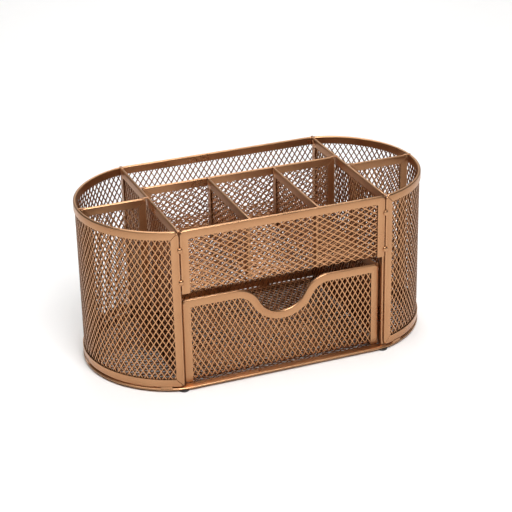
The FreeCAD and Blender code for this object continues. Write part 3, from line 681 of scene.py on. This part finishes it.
frontMiddle = [[0, -stand["halfDepth"]]]  # the closed outline starts and ends here, and goes clockwise
baseOutline = makePath(np.concatenate([frontMiddle, planOutline(), frontMiddle]), wall["bendSmoothing"])


# A place on the base rim: s along the outline, outward from it, and across upwards from the rim's bottom.
def onBase(s, outward, across):
    x, y = onPath(baseOutline, s, outward)
    return x, y, stand["baseRimBottom"] + across + 0 * x


count = int(baseOutline["total"] / wall["curveStep"])
around = np.linspace(0, baseOutline["total"], count, endpoint=False)
overhang = base["overhang"]
outer = np.stack([around, np.full(count, overhang)], axis=1)
inner = np.stack([around, np.full(count, overhang - channel["width"])], axis=1)
baseRim = sweptChannel(outer, inner, np.zeros(count), onBase, closed=True, crown=base["crown"])
addFolded("base_rim_folded", "base_rim", baseRim)


# True inside the plan outline moved outwards by offset.
def insidePlan(x, y, offset):
    inEnds = np.hypot(np.abs(x) - arcCentre, y) < endRadius + offset
    return (np.abs(y) < stand["halfDepth"] + offset) & ((np.abs(x) < arcCentre) | inEnds)


reach = overhang - hidden
baseSheet = lattice(
    (-stand["halfLength"] - reach, stand["halfLength"] + reach),
    (-stand["halfDepth"] - reach, stand["halfDepth"] + reach), "p",
    lambda x, y, rise: (x, y, stand["baseRimBottom"] + middleRise + rise),
    keep=lambda x, y: insidePlan(x, y, reach), thickness=expandedMetal["floorThickness"],
)
addExpanded("base_expanded", "base_mesh", baseSheet)


# A short tab that follows the wall over the gap below its bottom rim. Its length is one less the flare
# times its height, so it is a little longer at its foot.
def baseTab(s):
    middle = (stand["baseRimBottom"] + channel["thickness"] + stand["wallBottom"]) / 2
    half = (base["tabLength"] / 2, *base["tabHalf"])
    points, faceSets, edge = lump((0, 0, 0), half, base["tabSoftness"], rows=7, columns=24)
    along, across, up = points.T
    x, y, z = onWall(s + along * (1 - base["tabFlare"] * up), up + middle, middleRise + across)
    return np.stack([x, y, z], axis=1), faceSets, edge


endTab = (halfWay - stand["halfBay"]) / 2
leftTabs = [base["tabPlace"], endTab, halfWay - base["rearTabPlace"]]
rightTabs = [halfWay + base["rearTabPlace"], wallLength - endTab, wallLength - base["tabPlace"]]
baseTabs = joined([baseTab(s) for s in leftTabs + rightTabs])
addFolded("base_weld_tabs_pressed", "base_weld_tabs", baseTabs)

for depthName, depthSign in (("front", -1), ("rear", 1)):
    for sideName, side in (("left", -1), ("right", 1)):
        node = f"{depthName}_{sideName}_foot"
        middle = (side * stand["halfBay"], depthSign * (stand["halfDepth"] - base["footInset"]), 0)
        points, faceSets = turned(middle, base["footProfile"])
        addPiece(node + "_moulded", node, points, faceSets, "stand", rubberFinish)
print("stage 4: base built")


dividers = {
    "bottom": 3.05,  # of the full-height ones, on the base
    "trayBottom": 65.25,  # of the low ones, on the shelf
    "cornerRadius": 1.2,
    "cross": {"x": 65.5, "front": -53.66, "back": 53.4},
    "end": {"y": 0.0, "near": 67.1, "far": 107.4},
    "long": {"y": 16.0, "half": 63.9},
    "small": {"x": 21.7, "front": -53.4, "back": 14.4},
}


# A divider in an upright plane: a channel frame up one side, over the top and down the other, round a
# sheet. It runs along x or y from start to end, and fixed is its place on the other axis.
def divider(name, along, fixed, start, end, low, longAlong, seed):
    # p along the divider, q up and across from one face to the other
    def place(p, q, across):
        side = fixed - middleRise + across
        return (p, side, q) if along == "x" else (side, p, q)

    stations = bentStations([(start, low), (start, top), (end, top), (end, low)], dividers["cornerRadius"])
    addFolded(name + "_frame_folded", name + "_frame", sweptChannel(*stations, place, seed=seed))
    sheet = lattice(
        (start + hidden, end - hidden), (low, top - hidden), longAlong,
        lambda p, q, rise: place(p, q, middleRise + rise),
    )
    addExpanded(name + "_expanded", name + "_mesh", sheet)


low, trayLow = dividers["bottom"], dividers["trayBottom"]
cross, end, small, long = (dividers[key] for key in ("cross", "end", "small", "long"))
for sideName, side in (("left", -1), ("right", 1)):
    ends = sorted((side * end["near"], side * end["far"]))
    places = {
        "cross": ("y", side * cross["x"], cross["front"], cross["back"], low, "q", side),
        "end": ("x", end["y"], *ends, low, "q", 2 + side),
        "small": ("y", side * small["x"], small["front"], small["back"], trayLow, "p", 5 + side),
    }
    for kind, settings in places.items():
        divider(f"{sideName}_{kind}_divider", *settings)
divider("long_divider", "x", long["y"], -long["half"], long["half"], trayLow, "p", 8)
print("stage 5: dividers built")


panel = {
    "half": 65.1,
    "bottom": 64.6,
    "sheetHalf": 64.25,
    "shelfHeight": 64.9,
    "shelfBack": 53.75,
    "bendRadius": 0.9,
    "meshPitches": (3.66, 5.95),
}

frontRelief = {  # of the rear lip of both front frames, which stops above the bend of the sheet
    "rise": 1.4,
    "start": 1.2,  # from the front face backwards
    "blend": 0.3,
    "height": 5.0,
}


# A front frame's own plane: p to the right, q up, across backwards from its front face. Behind the start
# of the relief, points near the bottom are lifted by its rise, which fades out over its height.
def frontPlane(front, bottom):
    def place(p, q, across):
        behind = np.clip(across - frontRelief["start"], 0, frontRelief["blend"]) / frontRelief["blend"]
        lift = frontRelief["rise"] * behind * np.clip(1 - (q - bottom) / frontRelief["height"], 0, 1)
        return p, front + across, q + lift

    return place


# The corners of a frame that goes up the left side, over the top and down the right side.
def archCorners(half, low, high):
    return [(-half, low), (-half, high), (half, high), (half, low)]


dressed = channel["dressedMitreDepth"]
panelStations = bentStations(archCorners(panel["half"], panel["bottom"], top), mitre=dressed)
panelPlane = frontPlane(-stand["halfDepth"], panel["bottom"])
addFolded("front_panel_frame_folded", "front_panel_frame", sweptChannel(*panelStations, panelPlane, seed=11))


# The front of a bent sheet as (y, z): down from its top and a quarter turn round the bend to its floor.
def frontBend(front, frontTop, floor, radius):
    middle = (front + radius, floor + radius)
    bend = arcPoints(middle, radius, math.pi, math.pi * 1.5, expandedMetal["bendStep"])
    return np.concatenate([[[front, frontTop]], bend])


# A place on a sheet bent along a path of (y, z), reaching sideways by x.
def onBentSheet(path):
    def place(s, x, rise):
        y, z = onPath(path, s, rise)
        return x, y, z

    return place


panelFront = middleRise - stand["halfDepth"]
panelBend = frontBend(panelFront, top - hidden, panel["shelfHeight"], panel["bendRadius"])
panelPath = makePath(np.concatenate([panelBend, [[panel["shelfBack"], panel["shelfHeight"]]]]))
panelSheet = lattice(
    (0, panelPath["total"]), (-panel["sheetHalf"], panel["sheetHalf"]), "q", onBentSheet(panelPath),
    panel["meshPitches"], thickness=expandedMetal["floorThickness"],
)
addExpanded("front_panel_and_shelf_expanded", "front_panel_mesh", panelSheet)
print("stage 6: front panel and shelf built")


tabs = {"width": 1.8, "halfHeight": 0.3, "lap": 1.6, "gap": 1.5, "softness": 0.3}
seamWelds = {
    "left": (92.4, 72.0),  # heights above the table
    "right": (93.2, 69.4),
    "half": (1.6, 0.9, 1.7),
    "softness": 0.8,
}


# Flat tabs on the rims: each has its middle and its half length and half width, and laps over the rims on
# both sides of the gap that it bridges.
def topTabs():
    lap, half = tabs["lap"], tabs["width"] / 2
    reach = (tabs["gap"] + 2 * lap) / 2
    inside = stand["halfDepth"] - channel["thickness"]
    crossX, smallX = dividers["cross"]["x"], dividers["small"]["x"]
    longY, endY = dividers["long"]["y"], dividers["end"]["y"]
    bayInner, bayOuter = crossX - middleRise, crossX + middleRise
    outerEnd = stand["halfLength"] - channel["thickness"]
    lengthwise, sideways = (half, reach), (reach, half)
    spans = []
    for side in (-1, 1):
        spans += [
            ((side * crossX, -inside), (half, lap)),
            ((side * crossX, inside + lap - reach), lengthwise),
            ((side * smallX, -inside - lap + reach), lengthwise),
            ((side * smallX, longY - middleRise + lap - reach), lengthwise),
            ((side * (bayInner + lap - reach), longY), sideways),
            ((side * (bayOuter - lap + reach), endY), sideways),
            ((side * (outerEnd + lap - reach), endY), sideways),
        ]
    return [
        lump((*middle, top), (*size, tabs["halfHeight"]), tabs["softness"], rows=7, columns=28)
        for middle, size in spans
    ]


addFolded("divider_top_tabs_pressed", "divider_top_tabs", joined(topTabs()))

seamX = (stand["halfBay"] + panel["half"]) / 2
spots = [(side * seamX, -stand["halfDepth"], level)
         for side, sideName in ((-1, "left"), (1, "right")) for level in seamWelds[sideName]]
welds = [lump(spot, seamWelds["half"], seamWelds["softness"], rows=9, columns=24) for spot in spots]
addFolded("front_seam_welds", "front_seam_tabs", joined(welds))
print("stage 7: tabs and welds built")


drawer = {
    "half": 63.6,
    "front": -51.0,
    "bottom": 3.3,
    "top": 57.8,
    "notchHalfWidth": 30.0,
    "notchDepth": 18.8,
    "notchStart": (57.0, 55.0),  # past this far out the outer line and the lips' line are plain corners
    "notchSteps": (4, 12, 18),  # points on the straight, the shoulder and the hollow
    "sheetHalf": 62.25,
    "floor": 3.6,
    "back": 51.5,
    "backTop": 56.5,
    "bendRadius": 0.9,
    "bendMargin": 2.0,  # from the floor up to where the sheet's front counts as flat
    "rimTop": 57.2,
    "sideFront": -48.95,
    "sideBack": 50.45,
    "sideMiddle": 62.6,
    "meshPitches": (3.5, 6.04),
}
drawerTop, depth = drawer["top"], drawer["notchDepth"]
notchRadius = (drawer["notchHalfWidth"] ** 2 + depth ** 2) / (4 * depth)


# The finger notch along the top edge: straight, over a shoulder, round the hollow and back, all of one
# radius, (w squared + d squared) / 4d for half width w and depth d. Moved inwards by inset, the shoulders
# shrink and the hollow grows.
def notchLine(inset, startX):
    half, radius = drawer["notchHalfWidth"], notchRadius
    straightSteps, shoulderSteps, hollowSteps = drawer["notchSteps"]
    slope = math.atan2(2 * radius - depth, half)
    shoulder, hollow = radius - inset, radius + inset
    turning = np.linspace(math.pi / 2, slope, shoulderSteps)
    leftShoulder = np.stack([
        shoulder * np.cos(turning) - half, shoulder * np.sin(turning) + drawerTop - radius,
    ], axis=1)
    angles = np.linspace(math.pi + slope, 1.5 * math.pi, hollowSteps)
    bowl = np.stack([hollow * np.cos(angles), drawerTop - depth + radius + hollow * np.sin(angles)], axis=1)
    share = np.linspace(0, 1, straightSteps, endpoint=False)[:, None]
    straight = np.array([-startX, drawerTop - inset]) * (1 - share) + leftShoulder[0] * share
    left = np.concatenate([straight, leftShoulder, bowl[1:]])
    return np.concatenate([left, (left * [-1, 1])[-2::-1]])


outerStart, innerStart = drawer["notchStart"]
notch = notchLine(0.0, outerStart), notchLine(channel["width"], innerStart)
drawerCorners = archCorners(drawer["half"], drawer["bottom"], drawerTop)
frontStations = bentStations(drawerCorners, ownLegs={1: notch}, mitre=dressed)
drawerPlane = frontPlane(drawer["front"], drawer["bottom"])
drawerFront = sweptChannel(*frontStations, drawerPlane, seed=13)
addFolded("drawer_front_frame_folded", "drawer_front_frame", drawerFront, "drawer")

bendRadius, floorHeight = drawer["bendRadius"], drawer["floor"]
trayBend = frontBend(drawer["front"] + middleRise, drawerTop - hidden, floorHeight, bendRadius)
rearMiddle = (drawer["back"] - bendRadius, floorHeight + bendRadius)
rearBend = arcPoints(rearMiddle, bendRadius, math.pi * 1.5, math.pi * 2, expandedMetal["bendStep"])
trayPath = makePath(np.concatenate([trayBend, rearBend, [[drawer["back"], drawer["backTop"]]]]))


# Keeps the nodes below the notch and one hidden edge away from its line. Past the start of the notch, and
# behind the front, every node stays.
def underNotch(s, x):
    z = drawerTop - hidden - s
    line = notch[0]
    edgeHeight = np.interp(x, line[:, 0], line[:, 1])
    away = np.min(np.hypot(x[:, None] - line[:, 0], z[:, None] - line[:, 1]), axis=1)
    onFront = s < drawerTop - floorHeight - drawer["bendMargin"]
    return ~onFront | ((z < edgeHeight) & (away > hidden)) | (np.abs(x) > outerStart)


traySheet = lattice(
    (0, trayPath["total"]), (-drawer["sheetHalf"], drawer["sheetHalf"]), "p",
    onBentSheet(trayPath), drawer["meshPitches"], underNotch,
)
addExpanded("drawer_tray_expanded", "drawer_tray_mesh", traySheet, "drawer")


# A side's own plane: y along it, z up, and across to the right of its left face.
def sidePlane(side):
    return lambda y, z, across: (side * drawer["sideMiddle"] - middleRise + across, y, z)


# The same plane measured from the middle of the sheet.
def sideSheetPlane(side):
    return lambda y, z, rise: sidePlane(side)(y, z, middleRise + rise)


rimTop = drawer["rimTop"]
sideFront, sideBack = drawer["sideFront"], drawer["sideBack"]
sideStations = bentStations([(sideFront, rimTop), (sideBack, rimTop)])
for sideName, side in (("left", -1), ("right", 1)):
    rim, sheet = f"drawer_{sideName}_rim", f"drawer_{sideName}_side"
    sideRim = sweptChannel(*sideStations, sidePlane(side), seed=17 + side)
    addFolded(rim + "_folded", rim, sideRim, "drawer")
    sideSheet = lattice(
        (sideFront, sideBack), (drawer["bottom"], rimTop - hidden), "q",
        sideSheetPlane(side), drawer["meshPitches"],
    )
    addExpanded(sheet + "_expanded", sheet + "_mesh", sideSheet, "drawer")

backStations = bentStations([(-drawer["half"], rimTop), (drawer["half"], rimTop)])
backFace = drawer["back"] - middleRise
backRim = sweptChannel(*backStations, lambda x, z, across: (x, backFace + across, z), seed=19)
addFolded("drawer_back_rim_folded", "drawer_back_rim", backRim, "drawer")
print("stage 8: drawer built")


studio = {
    "floorHalf": 4.0,  # metres
    "worldColour": "#ffffff",
    "worldStrength": 0.05,
    "lights": {  # place, side and aim in metres, then power in watts
        "top": ((-0.05, 0.1, 1.3), 1.2, (0, 0, 0.05), 2.5),
        "frontHigh": ((0, -0.7, 1.2), 0.7, (0, 0, 0.05), 8.2),
        "frontFloor": ((0, -0.75, 0.9), 0.5, (0, -0.6, 0), 6.4),
        "rearRight": ((0.6, 0.7, 1.0), 1.3, (0, 0, 0.05), 4.4),
        "rearFloor": ((0.25, 0.85, 1.1), 0.6, (0.2, 0.8, 0), 5.4),
        "leftHigh": ((-0.7, -0.15, 1.1), 0.7, (-0.4, -0.1, 0), 4.0),
        "backdrop": ((0, 1.5, 0.75), 1.2, (0, 0, 0.05), 1.5),
    },
}

half = studio["floorHalf"]
floorCorners = [(-half, -half, 0), (half, -half, 0), (half, half, 0), (-half, half, 0)]
floorMesh = bpy.data.meshes.new("floor")
floorMesh.from_pydata(floorCorners, [], [(0, 1, 2, 3)])
floorMesh.materials.append(paleBoard())
floor = bpy.data.objects.new("floor", floorMesh)
bpy.context.scene.collection.objects.link(floor)

world = bpy.data.worlds.new("studio")
bpy.context.scene.world = world
world.use_nodes = True
world.node_tree.nodes.clear()
sky = addNode(world.node_tree, "ShaderNodeBackground", inputs={
    "Color": linear(studio["worldColour"]), "Strength": studio["worldStrength"],
})
addNode(world.node_tree, "ShaderNodeOutputWorld", inputs={"Surface": (sky, "Background")})


# A matrix at place whose own +Z is back and whose level +X is turned by roll about it.
def facing(place, back, roll):
    right = np.cross([0, 0, 1.0], back)
    right /= np.linalg.norm(right)
    up = np.cross(back, right)
    ownX = right * math.cos(roll) + up * math.sin(roll)
    ownY = up * math.cos(roll) - right * math.sin(roll)
    return Matrix([*zip(ownX, ownY, back, place), (0, 0, 0, 1)])


# A square soft light that faces a target.
def softLight(name, place, size, target, power):
    data = bpy.data.lights.new(name, "AREA")
    data.size = size
    data.energy = power
    light = bpy.data.objects.new(name, data)
    way = np.array(target) - np.array(place)
    light.matrix_world = facing(np.array(place), -way / np.linalg.norm(way), 0.0)
    bpy.context.scene.collection.objects.link(light)


for name, settings in studio["lights"].items():
    softLight(name + "Light", *settings)

view = {
    "azimuth": -21.053,  # degrees, to the left of the front
    "elevation": 24.833,
    "roll": -1.266,
    "distance": 0.9975,  # metres from the aim
    "aim": (0, 0, 0.05),
    "sensor": 36,
    "pictureSize": 512,  # this and the next two are in pixels
    "focalLength": 1592.1,
    "middle": (251.56, 261.16),  # where the camera's axis meets the picture, from its top left corner
}
turn, rise = math.radians(view["azimuth"]), math.radians(view["elevation"])
back = np.array([math.sin(turn) * math.cos(rise), -math.cos(turn) * math.cos(rise), math.sin(rise)])
place = np.array(view["aim"]) + back * view["distance"]
size, (middleX, middleY) = view["pictureSize"], view["middle"]
cameraData = bpy.data.cameras.new("camera")
cameraData.sensor_width = view["sensor"]
cameraData.lens = view["focalLength"] / size * view["sensor"]
cameraData.shift_x = (size / 2 - middleX) / size
cameraData.shift_y = (middleY - size / 2) / size
camera = bpy.data.objects.new("camera", cameraData)
camera.matrix_world = facing(place, back, math.radians(view["roll"]))
bpy.context.scene.collection.objects.link(camera)
bpy.context.scene.camera = camera
bpy.context.scene.view_settings.view_transform = "Standard"

print("stage 9: studio set")
